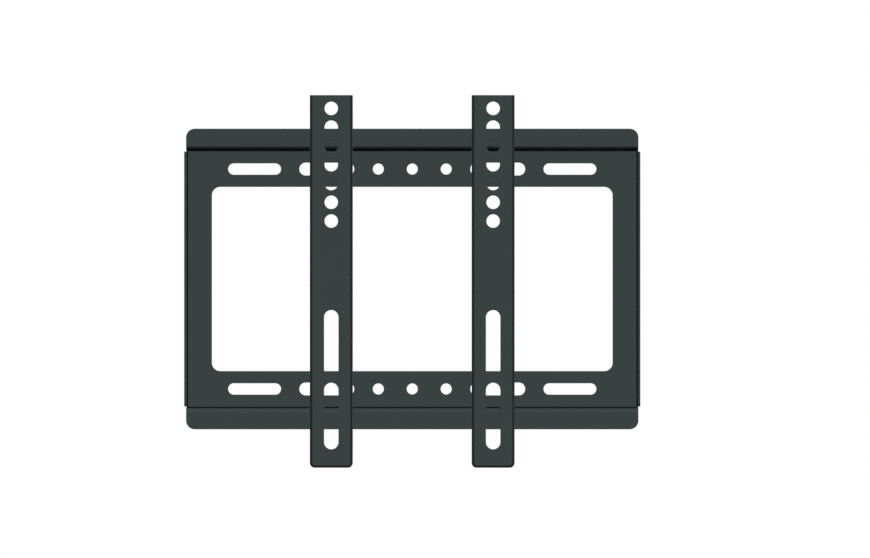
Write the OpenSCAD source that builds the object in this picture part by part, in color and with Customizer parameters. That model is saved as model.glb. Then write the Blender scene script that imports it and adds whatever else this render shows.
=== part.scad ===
// Fixed wall mount for a monitor: one folded wall plate and two folded arms that hook on it.
// The wall is the plane y = 0 and the screen side faces -y. Depths are measured from the wall.
// The origin is the centre of the wall screw pattern, on the wall.

/* [Wall plate] */
// Width over the two side flanges
plate_w = 282.1; // [260:0.1:340]
// Height over the free edges of the two rail lips
plate_h = 185.9; // [182:0.1:196]
// Height of a rail, from its shelf to the free edge of its lip
rail_h = 12.8; // [10:0.1:15]
// Distance from the wall to the front of the rail lips
rail_depth = 13.4; // [11:0.1:15]
// Depth of the side flanges
side_depth = 12; // [8:0.1:16]
// Sheet thickness of the wall plate
plate_sheet = 1.2; // [1:0.1:1.8]
// Inside radius of the wall plate's folds
plate_fold_r = 1.3; // [0.6:0.1:2]
// Radius of the lips' free corners
lip_corner_r = 5.4; // [1:0.1:8]
// Radius of the side flanges' free corners
side_corner_r = 3; // [1:0.1:6]

/* [Window and wall screw holes] */
// Width of the window
window_w = 248; // [200:0.5:254]
// Height of the window
window_h = 114; // [90:0.5:122]
// Corner radius of the window
window_r = 5.2; // [1:0.1:12]
// Distance between the upper and the lower row of wall screw holes
row_spacing = 136.1; // [132:0.1:142]
// Distance between the centres of the two outer slots in a row
outer_slot_spacing = 195.2; // [180:0.1:210]
// Length of an outer slot
outer_slot_l = 32.7; // [20:0.1:40]
// Width of an outer slot
outer_slot_w = 7; // [5:0.1:8]
// Distance between the centres of the two inner slots in a row
inner_slot_spacing = 105.8; // [100:0.1:112]
// Length of an inner slot
inner_slot_l = 34; // [20:0.1:36]
// Width of an inner slot
inner_slot_w = 7.9; // [5:0.1:9]
// Number of round holes between the inner slots of a row
stud_hole_count = 3; // [1:2:3]
// Distance from one round hole to the next
stud_hole_pitch = 21; // [12:0.1:24]
// Diameter of a round hole
stud_hole_d = 6.8; // [4:0.1:8]

/* [Arms] */
// Distance between the centre lines of the two arms
arm_spacing = 100; // [75:0.5:200]
// Width of an arm
arm_w = 26.5; // [22:0.1:32]
// Length of an arm
arm_l = 230.2; // [215:0.1:240]
// How far the middle of an arm hangs below the centre of the wall plate
arm_drop = 1.5; // [-4:0.1:6]
// Distance from the wall to the front of the arms
arm_depth = 25; // [23:0.1:32]
// Sheet thickness of the arms
arm_sheet = 1.5; // [1.2:0.1:2]
// Inside radius of the arms' folds
arm_fold_r = 0.5; // [0.3:0.1:1.2]
// Radius of the two lower corners of an arm's flat front, where three folds meet
flat_corner_r = 1; // [0.5:0.1:4]

/* [Arm hooks and walls] */
// Distance from the wall to the back edge of a hook
hook_back = 5; // [3.5:0.1:7]
// Gap between a hook's tip and the shelf below it
hook_gap = 2.6; // [1.5:0.1:5]
// Radius of the corners of the hook's tip and of the catch
hook_corner_r = 2; // [0.5:0.1:3]
// Height of the solid part of a hook above the lip's free edge
hook_bridge = 9; // [6:0.1:12]
// Play left below the upper rail when an arm is lifted off its lip
lift_play = 1.5; // [0.5:0.1:4]
// Distance from the wall to the back edge of the walls between the rails
wall_back = 9.5; // [8:0.1:10.5]
// Depth of the walls at the arm's two ends, from the arm's front
end_wall_depth = 9; // [7:0.1:11]
// Distance from the wall to the back edge of the catch below the lower lip
catch_back = 3; // [1:0.1:6]
// Height of the catch's straight back edge
catch_h = 9; // [5:0.1:11]
// Play between the catch and the lower lip's free edge, which lets the arm swing in
catch_play = 1.6; // [1:0.1:2.5]
// Play on each side of the upper lip inside the hook's slot
hook_play = 0.5; // [0.3:0.1:0.8]
// Gap of the paint where an arm seats on the lips
seat_gap = 0.2; // [0.1:0.05:0.4]
// Gap between the walls and the shelf of the lower rail
shelf_gap = 1.2; // [0.6:0.1:3]

/* [Screen screw holes] */
// Number of round holes in an arm
screen_hole_count = 7; // [3:1:7]
// Distance from one round hole to the next
screen_hole_pitch = 11.6; // [10:0.1:12]
// Distance from the arm's top end to the first round hole
first_hole_drop = 8.2; // [6:0.1:10]
// Diameter of a round hole
screen_hole_d = 8.3; // [5:0.1:9]
// Distance from the arm's bottom end to the lower slot
slot_rise = 11.4; // [9:0.1:16]
// Length of a slot in an arm
screen_slot_l = 41.1; // [20:0.1:44]
// Width of a slot in an arm
screen_slot_w = 8.9; // [5:0.1:10]
// Width of the bridge between the two slots
slot_bridge = 3.8; // [2.5:0.1:6]

/* [Hidden] */
$fn = 64;
steel_paint = [0.227, 0.259, 0.255];
plate_outer_r = plate_fold_r + plate_sheet;
shelf_z = plate_h / 2 - rail_h;
web_half_w = plate_w / 2 - plate_outer_r;
web_half_h = shelf_z - plate_fold_r;
rail_half_w = plate_w / 2 - plate_sheet;
side_h = 2 * web_half_h;
arm_top = arm_l / 2 - arm_drop;
arm_bottom = arm_top - arm_l;
arm_outer_r = arm_fold_r + arm_sheet;
flat_half_w = arm_w / 2 - arm_outer_r;
flat_bottom = arm_bottom + arm_outer_r;
arm_corner_r = flat_corner_r + arm_outer_r;
wall_bottom = arm_bottom + arm_corner_r;
wall_front = arm_depth - arm_outer_r;
end_wall_back = arm_depth - end_wall_depth;
lip_front = rail_depth;
lip_back = rail_depth - plate_sheet;
hook_front = lip_back - hook_play;
hook_roof = plate_h / 2 + seat_gap;
hook_tip = shelf_z + plate_sheet + hook_gap;
mouth_back = lip_front + hook_play;
mouth_bottom = shelf_z - (plate_h / 2 - hook_tip) - lift_play;
catch_top = -plate_h / 2 - catch_play;
tip_r = min(hook_corner_r, (hook_front - hook_back) / 2);
cut_overrun = 1;

// Thickens a drawing of width and height, which starts at a depth, towards the screen
module thicken(thickness, depth = 0) {
    translate([0, -depth, 0])
        rotate([90, 0, 0])
            linear_extrude(height = thickness)
                children();
}

// Runs a section of depth and height along the width
module run_across(width) {
    rotate([90, 0, -90])
        linear_extrude(height = width, center = true)
            children();
}

// Runs a section of width and depth along the height
module run_up(height) {
    mirror([0, 1, 0])
        linear_extrude(height = height, center = true)
            children();
}

// Section of a square fold, a quarter ring about the fold's centre
module fold(inside_r, sheet, turn) {
    rotate(turn)
        intersection() {
            difference() {
                circle(r = inside_r + sheet);
                circle(r = inside_r);
            }
            square(inside_r + sheet);
        }
}

// What a rounded corner takes away, with the corner's tip at the origin
module corner_waste(r, turn) {
    rotate(turn)
        translate([-r, -r])
            difference() {
                square(r + cut_overrun);
                circle(r = r);
            }
}

// Rounded rectangle about the origin
module rounded_window(w, h, r) {
    square([w - 2 * r, h], center = true);
    square([w, h - 2 * r], center = true);
    for (x = [-1, 1], y = [-1, 1])
        translate([x * (w / 2 - r), y * (h / 2 - r)])
            circle(r = r);
}

// Slot with round ends along the first axis
module slot(l, w) {
    square([l - w, w], center = true);
    for (end = [-1, 1])
        translate([end * (l - w) / 2, 0])
            circle(d = w);
}

// One row of wall screw holes, the same to the left and the right
module wall_screw_row() {
    for (side = [-1, 1]) {
        translate([side * outer_slot_spacing / 2, 0])
            slot(outer_slot_l, outer_slot_w);
        translate([side * inner_slot_spacing / 2, 0])
            slot(inner_slot_l, inner_slot_w);
    }
    for (i = [0 : stud_hole_count - 1])
        translate([(i - (stud_hole_count - 1) / 2) * stud_hole_pitch, 0])
            circle(d = stud_hole_d);
}

// Flat web of the wall plate, with its window and screw holes
module plate_web() {
    thicken(plate_sheet)
        difference() {
            square([2 * web_half_w, 2 * web_half_h], center = true);
            rounded_window(window_w, window_h, window_r);
            for (row = [-1, 1])
                translate([0, row * row_spacing / 2])
                    wall_screw_row();
        }
}

// Section of the upper rail: a fold, a shelf that stands off the wall, a fold and a lip
module rail_section() {
    translate([plate_outer_r, shelf_z - plate_fold_r])
        fold(plate_fold_r, plate_sheet, 90);
    translate([plate_outer_r, shelf_z])
        square([rail_depth - 2 * plate_outer_r, plate_sheet]);
    translate([rail_depth - plate_outer_r, shelf_z + plate_outer_r])
        fold(plate_fold_r, plate_sheet, 270);
    translate([lip_back, shelf_z + plate_outer_r])
        square([plate_sheet, rail_h - plate_outer_r]);
}

// Upper rail across the wall plate, with the free corners of its lip rounded
module rail() {
    difference() {
        run_across(2 * rail_half_w)
            rail_section();
        thicken(rail_depth + cut_overrun)
            for (side = [0, 1])
                mirror([side, 0])
                    translate([rail_half_w, plate_h / 2])
                        corner_waste(lip_corner_r, 0);
    }
}

// Right side flange, folded forward. It ends where the rails' folds begin.
module side_flange() {
    difference() {
        run_up(side_h) {
            translate([web_half_w, plate_outer_r])
                fold(plate_fold_r, plate_sheet, 270);
            translate([rail_half_w, plate_outer_r])
                square([plate_sheet, side_depth - plate_outer_r]);
        }
        translate([plate_w / 2, 0, 0])
            run_across(2 * plate_outer_r)
                for (end = [0, 1])
                    mirror([0, end])
                        translate([side_depth, side_h / 2])
                            corner_waste(side_corner_r, 0);
    }
}

// Wall plate, folded from one sheet
module wall_plate() {
    color(steel_paint)
        union() {
            plate_web();
            for (end = [0, 1])
                mirror([0, 0, end])
                    rail();
            for (side = [0, 1])
                mirror([side, 0, 0])
                    side_flange();
        }
}

// Screw holes for the screen, in the arm's front face
module screen_holes() {
    for (i = [0 : screen_hole_count - 1])
        translate([0, arm_top - first_hole_drop - i * screen_hole_pitch])
            circle(d = screen_hole_d);
    for (i = [0, 1])
        translate([0, arm_bottom + slot_rise + screen_slot_l / 2 + i * (screen_slot_l + slot_bridge)])
            rotate(90)
                slot(screen_slot_l, screen_slot_w);
}

// Flat front of an arm between its folds
module arm_face() {
    thicken(arm_sheet, arm_depth - arm_sheet)
        difference() {
            translate([-flat_half_w, flat_bottom])
                square([2 * flat_half_w, arm_top - flat_bottom]);
            for (side = [0, 1])
                mirror([side, 0])
                    translate([flat_half_w, flat_bottom])
                        corner_waste(flat_corner_r, 270);
            screen_holes();
        }
}

// Outline of an arm's side wall: a hook over the upper lip, a notch round the lower rail
// and a catch under the lower lip, in depth and height
module arm_wall_outline() {
    difference() {
        polygon([
            [wall_front, arm_top],
            [end_wall_back, arm_top],
            [hook_back, hook_roof + hook_bridge],
            [hook_back, hook_tip],
            [hook_front, hook_tip],
            [hook_front, hook_roof],
            [mouth_back, hook_roof],
            [mouth_back, mouth_bottom],
            [wall_back, mouth_bottom - (mouth_back - wall_back)],
            [wall_back, shelf_gap - shelf_z],
            [lip_front + seat_gap, shelf_gap - shelf_z],
            [lip_front + seat_gap, catch_top],
            [catch_back, catch_top],
            [catch_back, catch_top - catch_h],
            [end_wall_back, wall_bottom],
            [wall_front, wall_bottom]
        ]);
        translate([hook_back, hook_tip])
            corner_waste(tip_r, 180);
        translate([hook_front, hook_tip])
            corner_waste(tip_r, 270);
        translate([catch_back, catch_top])
            corner_waste(tip_r, 90);
    }
}

// Right side wall of an arm with the fold that joins it to the face
module arm_wall() {
    translate([(arm_w - arm_sheet) / 2, 0, 0])
        run_across(arm_sheet)
            arm_wall_outline();
    translate([0, 0, (arm_top + wall_bottom) / 2])
        run_up(arm_top - wall_bottom)
            translate([flat_half_w, wall_front])
                fold(arm_fold_r, arm_sheet, 0);
}

// Section of an arm's closed lower end, outwards from the centre of its corner and in depth
module lower_edge_section() {
    translate([flat_corner_r, wall_front])
        fold(arm_fold_r, arm_sheet, 0);
    translate([arm_corner_r - arm_sheet, end_wall_back])
        square([arm_sheet, wall_front - end_wall_back]);
}

// Closed lower end of an arm: the fold and a low wall run round both corners without a slit
module arm_lower_edge() {
    translate([0, 0, wall_bottom]) {
        run_across(arm_w - 2 * arm_corner_r)
            rotate(-90)
                lower_edge_section();
        for (side = [0, 1])
            mirror([side, 0, 0])
                translate([arm_w / 2 - arm_corner_r, 0, 0])
                    rotate([90, 0, 0])
                        rotate(-90)
                            rotate_extrude(angle = 90)
                                lower_edge_section();
    }
}

// Arm folded from one sheet, on its own centre line
module arm() {
    color(steel_paint)
        union() {
            arm_face();
            arm_lower_edge();
            for (side = [0, 1])
                mirror([side, 0, 0])
                    arm_wall();
        }
}

module left_arm() {
    translate([-arm_spacing / 2, 0, 0])
        arm();
}

module right_arm() {
    translate([arm_spacing / 2, 0, 0])
        arm();
}

wall_plate();
left_arm();
right_arm();
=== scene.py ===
# %% [markdown]
# # A low wall mount for a monitor
#
# The object is three pieces of folded steel sheet with one dark powder-coated finish: a wall plate that
# looks like a picture frame, and two arms that hook over its rails. Each piece is punched flat, folded on a
# press and then coated. So three things give it its look: flat faces with crisp holes, tight folds that
# turn away from the light, and a skin of paint that runs softly round each cut edge.
#
# The measured model of the pieces comes from another program. It is loaded first, as a fixed frame that
# every later step is fitted to, and its box is kept, which later sets where the floor lies.

# %% Load the measured model
import math

import bmesh
import bpy
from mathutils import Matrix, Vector


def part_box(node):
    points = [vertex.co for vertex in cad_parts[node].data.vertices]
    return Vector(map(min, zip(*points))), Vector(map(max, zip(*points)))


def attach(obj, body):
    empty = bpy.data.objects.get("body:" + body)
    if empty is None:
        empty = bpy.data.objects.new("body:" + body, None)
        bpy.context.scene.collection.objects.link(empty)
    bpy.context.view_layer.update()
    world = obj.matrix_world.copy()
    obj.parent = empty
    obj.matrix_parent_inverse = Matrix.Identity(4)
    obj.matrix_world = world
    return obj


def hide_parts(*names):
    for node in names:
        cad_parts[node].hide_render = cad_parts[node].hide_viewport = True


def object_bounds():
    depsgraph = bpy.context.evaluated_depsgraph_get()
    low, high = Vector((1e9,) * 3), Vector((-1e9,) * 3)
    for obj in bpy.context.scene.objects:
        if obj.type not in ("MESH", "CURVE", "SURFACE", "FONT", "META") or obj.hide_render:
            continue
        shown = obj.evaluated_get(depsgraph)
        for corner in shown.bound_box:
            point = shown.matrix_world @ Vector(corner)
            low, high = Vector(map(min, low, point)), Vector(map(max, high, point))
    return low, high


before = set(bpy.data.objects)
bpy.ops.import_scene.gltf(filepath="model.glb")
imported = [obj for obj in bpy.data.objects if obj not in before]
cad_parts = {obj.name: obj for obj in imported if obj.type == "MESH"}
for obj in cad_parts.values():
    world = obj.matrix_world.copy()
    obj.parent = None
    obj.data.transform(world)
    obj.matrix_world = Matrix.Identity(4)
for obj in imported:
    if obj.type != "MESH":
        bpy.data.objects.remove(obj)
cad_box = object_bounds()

MM = 0.001  # Blender counts in metres, and a sheet metal drawing in millimetres
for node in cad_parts:
    low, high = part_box(node)
    print(node, "spans", [round(side / MM, 1) for side in high - low], "mm")


# %% [markdown]
# ## A colour, and a chain of nodes
#
# A colour is easiest to read as the hex value that a picture editor shows, but Blender mixes light in
# linear numbers. One function turns the first into the second, and every colour below goes through it.
#
# A material is a chain of small nodes. Each could be written out as a line for the node, one for each of
# its settings and one for each link, but then the chain is hard to see. So one function fills sockets, with
# a plain value or with what another node gives, and a second adds a node and fills its sockets.

# %% Colour and node helpers
def to_linear(hex_colour):
    """The linear red, green, blue and alpha of an sRGB hex colour."""
    shares = [int(hex_colour[i : i + 2], 16) / 255 for i in (1, 3, 5)]
    return [s / 12.92 if s <= 0.04045 else ((s + 0.055) / 1.055) ** 2.4 for s in shares] + [1.0]


def feed(tree, node, inputs):
    """Fills sockets of a node, by name or number: a value is set, and another node's socket is linked."""
    for name, value in inputs.items():
        if isinstance(value, bpy.types.NodeSocket):
            tree.links.new(value, node.inputs[name])
        else:
            node.inputs[name].default_value = value


def add_node(tree, kind, settings, inputs):
    """Adds a node with its settings and links."""
    node = tree.nodes.new(kind)
    for name, value in settings.items():
        setattr(node, name, value)
    feed(tree, node, inputs)
    return node


print("mid grey #808080 is", round(to_linear("#808080")[0], 3), "in linear light")


# %% [markdown]
# ## The finish: powder coat on steel
#
# Powder coat is a dry polyester paint, sprayed on as charged dust and baked until it flows together. It
# gives the eye one even colour with no brush marks and hardly any sheen. Seen close, it has a shallow
# orange peel, swells about 2 mm apart and a hundredth of a millimetre high, and over it a finer tooth that
# the grains of powder leave. Seen from far away, thick and thin places of the coat make the colour drift
# by a shade.
#
# A picture of paint could be wrapped round the parts, but it would stretch at the folds. Noise that is
# worked out in space, from each point's own place, runs round every fold and edge without a seam.
#
# The folds tell the eye that this is sheet metal. In a tight inside fold the paint looks nearly black,
# because little light finds its way in and out again, and an upright fold looks dark where it turns to the
# side. Light alone gives a part of that, more softly than the real mount shows it. So the rest of that
# shade
# is painted into the colour: each piece carries a number on every point that says how much painted fold
# shade it has, and the paint colour is mixed towards a near black by that number.

# %% Material: matt powder coat, dark green grey
PAINT_COLOUR = "#3A4342"
PAINT_SHADE = "#384140"  # where the coat lies a little thicker
# Painted shade: the near black that the paint colour is mixed towards in a fold, and the name of the number
# on each point that says how much of it is painted there.
PAINTED_FOLD_SHADE = "#040505"  # deep in an inside fold
PAINTED_SHADE_ATTRIBUTE = "fold_shade"  # the name under which each piece says where its folds are
# A pattern's size is how far apart its swells lie, and its detail is how many finer ones lie on them.
CLOUD_SIZE, CLOUD_DETAIL = 38 * MM, 2.0  # thick and thin places of the coat
PEEL_SIZE, PEEL_DETAIL, PEEL_HEIGHT = 2.2 * MM, 1.0, 0.012 * MM  # orange peel
# A real grain is 0.1 mm. It is drawn coarser, because it couldn't show otherwise.
TOOTH_SIZE, TOOTH_DETAIL, TOOTH_HEIGHT = 0.9 * MM, 3.0, 0.004 * MM
PAINT_IOR = 1.5  # polyester resin
PAINT_SHEEN = 0.05  # a tenth of what a gloss paint sends back: the real coat shows no glint on its faces
SMOOTHEST, ROUGHEST = 0.68, 0.8  # in the dips of the tooth the paint has flowed, and its tops are rougher

COLOUR_A, COLOUR_B, COLOUR_OUT = 6, 7, 2  # a Mix node's sockets when it mixes colours


def powder_coat():
    """Baked powder paint: even colour, hardly any sheen, faint orange peel, and painted shade that darkens
    the folds.
    """
    material = bpy.data.materials.new("Matt powder coat on steel")
    material.use_nodes = True
    tree = material.node_tree
    place = add_node(tree, "ShaderNodeTexCoord", {}, {}).outputs["Object"]

    cloud = add_node(
        tree, "ShaderNodeTexNoise", {}, {"Vector": place, "Scale": 1 / CLOUD_SIZE, "Detail": CLOUD_DETAIL}
    )
    coat = add_node(
        tree,
        "ShaderNodeMix",
        {"data_type": "RGBA"},
        {
            "Factor": cloud.outputs["Fac"],
            COLOUR_A: to_linear(PAINT_COLOUR),
            COLOUR_B: to_linear(PAINT_SHADE),
        },
    )
    # Painted shade in the folds: each point's share, carried by the piece, mixes the paint colour towards
    # near black.
    fold = add_node(tree, "ShaderNodeAttribute", {"attribute_name": PAINTED_SHADE_ATTRIBUTE}, {})
    colour = add_node(
        tree,
        "ShaderNodeMix",
        {"data_type": "RGBA"},
        {
            "Factor": fold.outputs["Fac"],
            COLOUR_A: coat.outputs[COLOUR_OUT],
            COLOUR_B: to_linear(PAINTED_FOLD_SHADE),
        },
    )

    tooth = add_node(
        tree, "ShaderNodeTexNoise", {}, {"Vector": place, "Scale": 1 / TOOTH_SIZE, "Detail": TOOTH_DETAIL}
    )
    gloss = add_node(
        tree,
        "ShaderNodeMapRange",
        {},
        {"Value": tooth.outputs["Fac"], "To Min": SMOOTHEST, "To Max": ROUGHEST},
    )
    peel = add_node(
        tree, "ShaderNodeTexNoise", {}, {"Vector": place, "Scale": 1 / PEEL_SIZE, "Detail": PEEL_DETAIL}
    )
    swells = add_node(
        tree, "ShaderNodeBump", {}, {"Height": peel.outputs["Fac"], "Distance": PEEL_HEIGHT}
    )
    grain = add_node(
        tree,
        "ShaderNodeBump",
        {},
        {
            "Height": tooth.outputs["Fac"],
            "Distance": TOOTH_HEIGHT,
            "Normal": swells.outputs["Normal"],
        },
    )

    finish = {
        "Base Color": colour.outputs[COLOUR_OUT],
        "Roughness": gloss.outputs["Result"],
        "IOR": PAINT_IOR,
        "Specular IOR Level": PAINT_SHEEN,
        "Normal": grain.outputs["Normal"],
    }
    feed(tree, tree.nodes["Principled BSDF"], finish)
    return material


paint = powder_coat()
print(paint.name, "has", len(paint.node_tree.nodes), "nodes")


# %% [markdown]
# ## From a measured part to a coated piece
#
# The loaded parts have the right outline, holes and folds, so they could be painted and left as they are.
# But each cut edge on them is a perfect knife edge, which no real sheet has: the punch rolls it over a
# little and the paint rounds it further, and the eye looks for the thin line of light that such an edge
# catches. A loaded part's mesh isn't changed, so each piece is a copy that stands in for its part.
#
# A loaded mesh is loose triangles. So the copy is first merged into one skin, and the triangles of each
# flat face are dissolved into one whole panel. Only then do its edges mean something: an edge between two
# panels is a cut edge or a fold, and nothing else is left.

# %% Helper: one skin with whole panels
MERGE_DISTANCE = 0.001 * MM
FLAT_ANGLE = math.radians(0.5)  # faces that turn by less are one panel


def only(piece):
    """Makes the piece the only selected and active one."""
    bpy.ops.object.select_all(action="DESELECT")
    piece.select_set(True)
    bpy.context.view_layer.objects.active = piece


def merge_points(piece):
    """Joins the points that lie on one spot, and leaves all of the mesh selected."""
    only(piece)
    bpy.ops.object.mode_set(mode="EDIT")
    bpy.ops.mesh.select_all(action="SELECT")
    bpy.ops.mesh.remove_doubles(threshold=MERGE_DISTANCE)
    bpy.ops.object.mode_set(mode="OBJECT")


def merged_copy(node, name):
    """A copy of a loaded part under a new name, merged into one skin with whole panels."""
    piece = bpy.data.objects.new(name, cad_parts[node].data.copy())
    bpy.context.scene.collection.objects.link(piece)
    merge_points(piece)
    bpy.ops.object.mode_set(mode="EDIT")
    bpy.ops.mesh.dissolve_limited(angle_limit=FLAT_ANGLE)
    bpy.ops.object.mode_set(mode="OBJECT")
    print(name, "is one skin of", len(piece.data.polygons), "panels and strips")
    return piece


# %% [markdown]
# ## Where the folds are
#
# The fold shade could be painted by hand, but it would have to be painted again after each change to the
# model. A fold is a row of narrow strips between two panels, so its points can be found by the shape
# alone: the faces round such a point meet at small angles, and none of them is a panel. On this mount
# every panel faces straight along the depth or straight across it, and the strips of a fold lean between.
#
# The sign of the small angles tells an inside fold, which is given the deepest painted shade, from an
# outside one.
# An upright outside fold, down the side of an arm, turns from the light to where nothing bright stands, and
# is given painted shade for that. A level one turns up into the light or down into its own shadow, which
# the lamps show by themselves, so it is given very little. In every fold the painted shade grows from
# nothing at a panel to its most in the middle.

# %% Helper: write the painted fold shade on the points
SHARP_ANGLE = math.radians(40)  # a strip of a fold turns by less, and a cut edge by more
PANEL_LEAN = 0.001  # a face whose depth direction is this near to all or nothing is a panel
# How much shade is painted on each kind of fold, and how soon it reaches its most.
INSIDE_FOLD, INSIDE_SPREAD = 0.95, 4.0  # the most shade, and how soon it is reached
UPRIGHT_FOLD, LEVEL_FOLD, OUTSIDE_SPREAD = 0.75, 0.15, 1.5


def is_panel(face):
    """Whether a face lies flat against the wall, or square to it."""
    depth = abs(face.normal.y)
    return min(depth, 1 - depth) < PANEL_LEAN


def painted_shade_at(point):
    """The share of painted fold shade at a point: none on a panel, the most in the middle of a fold."""
    soft = [edge for edge in point.link_edges if edge.calc_face_angle() < SHARP_ANGLE]
    around = [face for face in point.link_faces if any(edge in soft for edge in face.edges)]
    if not around or any(is_panel(face) for face in around):
        return 0.0
    facing = sum((face.normal for face in around), Vector()).normalized()
    lean = math.asin(abs(facing.y))
    middle = math.sin(2 * lean) ** 2  # nothing at either panel, 1 half way round
    if sum(edge.calc_face_angle_signed() for edge in soft) < 0:
        return INSIDE_FOLD * min(1.0, INSIDE_SPREAD * middle)
    most = UPRIGHT_FOLD if abs(facing.x) > abs(facing.z) else LEVEL_FOLD
    return most * min(1.0, OUTSIDE_SPREAD * middle)


def paint_shade_on_folds(piece):
    """Writes the painted fold shade on each point of the piece, for the paint colour to be darkened by."""
    shade = piece.data.attributes.new(PAINTED_SHADE_ATTRIBUTE, "FLOAT", "POINT")
    skin = bmesh.new()
    skin.from_mesh(piece.data)
    for point in skin.verts:
        shade.data[point.index].value = painted_shade_at(point)
    skin.free()
    print(piece.name, "has", sum(point.value > 0 for point in shade.data), "points on shaded folds")


# %% [markdown]
# ## Cut edges
#
# The Bevel modifier rounds edges in one go. It can pick every edge that is sharper than an angle, but then
# it also fills the inner corner where two folds meet, and throws points out of the sheet there. So the
# edges that are sharp and point outwards are given a bevel weight, and only those are rounded. The round
# is 0.2 mm: larger ones look like cast metal. Where three rounds meet, points can fall on one spot, so
# they are merged again.
#
# Smooth shading then has to bend round the folds and the cut edges and stay flat on the panels. The
# Weighted Normal modifier does that: a big face decides how the light falls on the points that it shares.

# %% Helpers: round the cut edges, and coat a piece
EDGE_ROUND = 0.2 * MM
EDGE_STEPS = 3


def round_cut_edges(piece):
    """Rounds each sharp edge that points outwards."""
    weight = piece.data.attributes.new("bevel_weight_edge", "FLOAT", "EDGE")
    skin = bmesh.new()
    skin.from_mesh(piece.data)
    for edge in skin.edges:
        weight.data[edge.index].value = float(edge.calc_face_angle_signed() > SHARP_ANGLE)
    skin.free()
    only(piece)
    rounding = piece.modifiers.new("Cut edges", "BEVEL")
    rounding.width = EDGE_ROUND
    rounding.segments = EDGE_STEPS
    rounding.limit_method = "WEIGHT"
    rounding.use_clamp_overlap = False
    bpy.ops.object.modifier_apply(modifier=rounding.name)
    merge_points(piece)


def coated_copy(node, name):
    """A copy of a loaded part with painted shade on its folds, rounded cut edges and the paint on it."""
    piece = merged_copy(node, name)
    paint_shade_on_folds(piece)
    round_cut_edges(piece)
    bpy.ops.object.shade_smooth_by_angle(angle=SHARP_ANGLE)
    shading = piece.modifiers.new("Flat panels", "WEIGHTED_NORMAL")
    shading.keep_sharp = True
    bpy.ops.object.modifier_apply(modifier=shading.name)
    piece.data.materials.clear()
    piece.data.materials.append(paint)
    print(name, "has", len(piece.data.polygons), "faces")
    return piece


# %% [markdown]
# ## The wall plate
#
# The plate is one sheet. Its middle is punched out to a window, so that cables and a hand reach behind the
# screen, and rows of slots and round holes above and below it take the wall screws. The upper and lower
# margins are folded forward and then away from the middle, which makes the two rails that the arms hold
# on to, and the side margins are folded forward once, to stiffen it.
#
# All of this is in the loaded part already. The coated copy replaces it and moves with the same body.

# %% The wall plate
wall_plate = coated_copy("wall_plate", "wall_plate_sheet")
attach(wall_plate, "wall_plate")
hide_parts("wall_plate")


# %% [markdown]
# ## The arms
#
# An arm is a narrow channel. Its face is screwed to the back of the screen, through the round holes or the
# long slots, and its two walls are cut to a hook above, a seat and a catch below. The hooks hang on the
# upper rail, the seat bears on the lower one, and the arm slides sideways along both.
#
# Both arms come off the same press. So one is finished and the other is a copy of it with a mesh of its
# own. The copy is moved by as much as the loaded parts stand apart, and the move is applied to its mesh,
# so that the object itself stays at the origin and the paint's pattern stays where it was in space.

# %% The two arms
left_arm = coated_copy("left_arm", "left_arm_sheet")
only(left_arm)
bpy.ops.object.duplicate()
right_arm = bpy.context.object
right_arm.name = "right_arm_sheet"
arms_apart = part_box("right_arm")[0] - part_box("left_arm")[0]
bpy.ops.transform.translate(value=arms_apart)
bpy.ops.object.transform_apply(location=True, rotation=False, scale=False)
print("the arms stand", round(arms_apart.x / MM, 1), "mm apart")

for arm, body in ((left_arm, "left_arm"), (right_arm, "right_arm")):
    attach(arm, body)
    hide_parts(body)


# %% [markdown]
# ## A look at the meshes
#
# A picture hides an open seam that a printer or a later program would trip over. So the edges that don't
# have exactly two faces are counted: a closed sheet has none.

# %% Count the open edges
for piece in (wall_plate, left_arm, right_arm):
    skin = bmesh.new()
    skin.from_mesh(piece.data)
    print(piece.name, "has", sum(not edge.is_manifold for edge in skin.edges), "open edges")
    skin.free()


# %% [markdown]
# ## Camera
#
# The mount is seen square from the front and from far away, because none of the arms' side walls shows.
# A camera without perspective would give that too. A product picture is taken with a long lens from some
# way off, though, so such a lens stands here, 12 m in front and level with the middle of the plate. The
# plate lies a little left of the middle of the frame, so the camera stands a little to the right of it.

# %% Camera
IMAGE_W_PX = 870
PLATE_MIDDLE_X_PX = 412.26
PX = 0.619 * MM  # what one pixel covers on the mount
CAMERA_DISTANCE = 12.0

camera = bpy.data.objects.new("Camera", bpy.data.cameras.new("Camera"))
bpy.context.scene.collection.objects.link(camera)
bpy.context.scene.camera = camera
camera.location = ((IMAGE_W_PX / 2 - PLATE_MIDDLE_X_PX) * PX, -CAMERA_DISTANCE, 0)
camera.rotation_euler = (math.radians(90), 0, 0)
camera.data.lens = camera.data.sensor_width * CAMERA_DISTANCE / (IMAGE_W_PX * PX)
camera.data.clip_end = 3 * CAMERA_DISTANCE  # well past the object, also from a turned view
print("the lens is", round(camera.data.lens), "mm long")


# %% [markdown]
# ## Floor and room
#
# The mount is shown on plain white. A white room bright enough to show as white would also flood the
# object with light from all sides and wash out its folds. So floor and room each have two sides: one that
# the camera sees, also in a reflection or through glass, which is pale, and one that lights the object,
# which is nearly dark. The Light Path node tells what kind of ray asks. The lamps then shape the object,
# and the floor still takes its shadow.

# %% Helper: pale to look at, dark as a source of light
def two_sided_look(tree, output, lighting, showing):
    """Feeds an output with one shader for rays that carry light and another for rays that look."""
    ray = add_node(tree, "ShaderNodeLightPath", {}, {}).outputs
    looks = ray["Is Camera Ray"]
    for kind in ("Is Glossy Ray", "Is Transmission Ray"):
        either = add_node(tree, "ShaderNodeMath", {"operation": "MAXIMUM"}, {0: looks, 1: ray[kind]})
        looks = either.outputs["Value"]
    mix = add_node(
        tree, "ShaderNodeMixShader", {}, {0: looks, 1: lighting.outputs[0], 2: showing.outputs[0]}
    )
    feed(tree, tree.nodes[output], {"Surface": mix.outputs["Shader"]})


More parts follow.
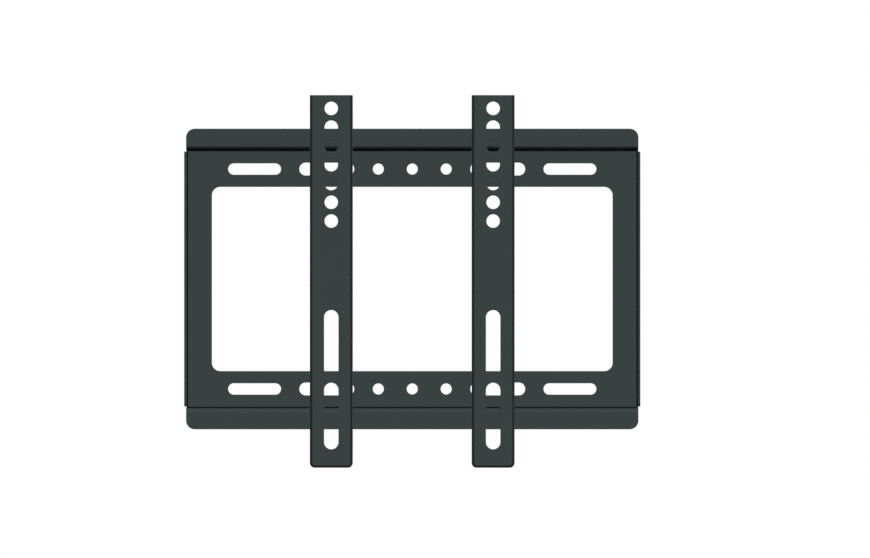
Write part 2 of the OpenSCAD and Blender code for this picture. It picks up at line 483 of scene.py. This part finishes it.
# %% Floor
FLOOR_COLOUR = "#D0D0CE"
FLOOR_LIGHT = "#202020"  # what the floor throws back at the object
FLOOR_ROUGHNESS = 0.9
FLOOR_SIZE = 8.0
FLOOR_DROP = 120 * MM  # below the lowest point of the arms

bpy.ops.object.select_all(action="DESELECT")
bpy.ops.mesh.primitive_plane_add(size=FLOOR_SIZE, location=(0, 0, cad_box[0].z - FLOOR_DROP))
floor = bpy.context.object
floor.name = "Floor"

floor_paint = bpy.data.materials.new("Matt white floor")
floor_paint.use_nodes = True
tree = floor_paint.node_tree
matt = tree.nodes["Principled BSDF"]
pale = {"Base Color": to_linear(FLOOR_COLOUR), "Roughness": FLOOR_ROUGHNESS, "Specular IOR Level": 0.0}
feed(tree, matt, pale)
dark = add_node(tree, "ShaderNodeBsdfDiffuse", {}, {"Color": to_linear(FLOOR_LIGHT)})
two_sided_look(tree, "Material Output", dark, matt)
floor.data.materials.append(floor_paint)
print("the floor lies", round(FLOOR_DROP / MM), "mm below the arms")

# %% Room
ROOM_COLOUR = "#FFFFFF"
ROOM_SEEN = 1.0  # a strength of 1 is white
ROOM_FILL = 0.02  # how strongly the room lights the object

world = bpy.data.worlds.new("Room")
bpy.context.scene.world = world
world.use_nodes = True
tree = world.node_tree
fill = tree.nodes["Background"]
feed(tree, fill, {"Color": to_linear(ROOM_COLOUR), "Strength": ROOM_FILL})
white = add_node(
    tree, "ShaderNodeBackground", {}, {"Color": to_linear(ROOM_COLOUR), "Strength": ROOM_SEEN}
)
two_sided_look(tree, "World Output", fill, white)
print("the room has", len(tree.nodes), "nodes")


# %% [markdown]
# ## Lights
#
# The light strip on the lower rail's fold tells where the main lamp stood: a good way up and nearly in
# front. It gives the faces about the colour that the paint is written with. The arms leave no shadow on
# the plate, as under the large diffusers of a studio, so this lamp casts none. A weak lamp from above does,
# for the floor. Two more stand behind, to the left and right, and light the back and the outer sides,
# which the front view doesn't show but a turned one does. They stand so far round that the folds at the
# arms' sides stay dark from the front.

# %% Lights
LAMPS = (
    # name, strength, degrees round to the right, degrees up, degrees of softness, casts a shadow
    ("Key", 3.8, 10, 41, 20, False),
    ("Top", 0.3, 0, 80, 30, True),
    ("Rear left", 1.7, 230, 10, 20, False),
    ("Rear right", 1.7, 130, 10, 20, False),
)

for name, strength, azimuth, elevation, softness, casts_shadow in LAMPS:
    lamp = bpy.data.objects.new(name, bpy.data.lights.new(name, "SUN"))
    bpy.context.scene.collection.objects.link(lamp)
    turn, lift = math.radians(azimuth), math.radians(elevation)
    towards = Vector(
        (math.sin(turn) * math.cos(lift), -math.cos(turn) * math.cos(lift), math.sin(lift))
    )
    lamp.rotation_euler = towards.to_track_quat("Z", "Y").to_euler()
    lamp.data.energy = strength
    lamp.data.angle = math.radians(softness)
    lamp.data.use_shadow = casts_shadow
    print(name, "shines from", [round(c, 2) for c in towards])

bpy.context.scene.view_settings.view_transform = "Standard"
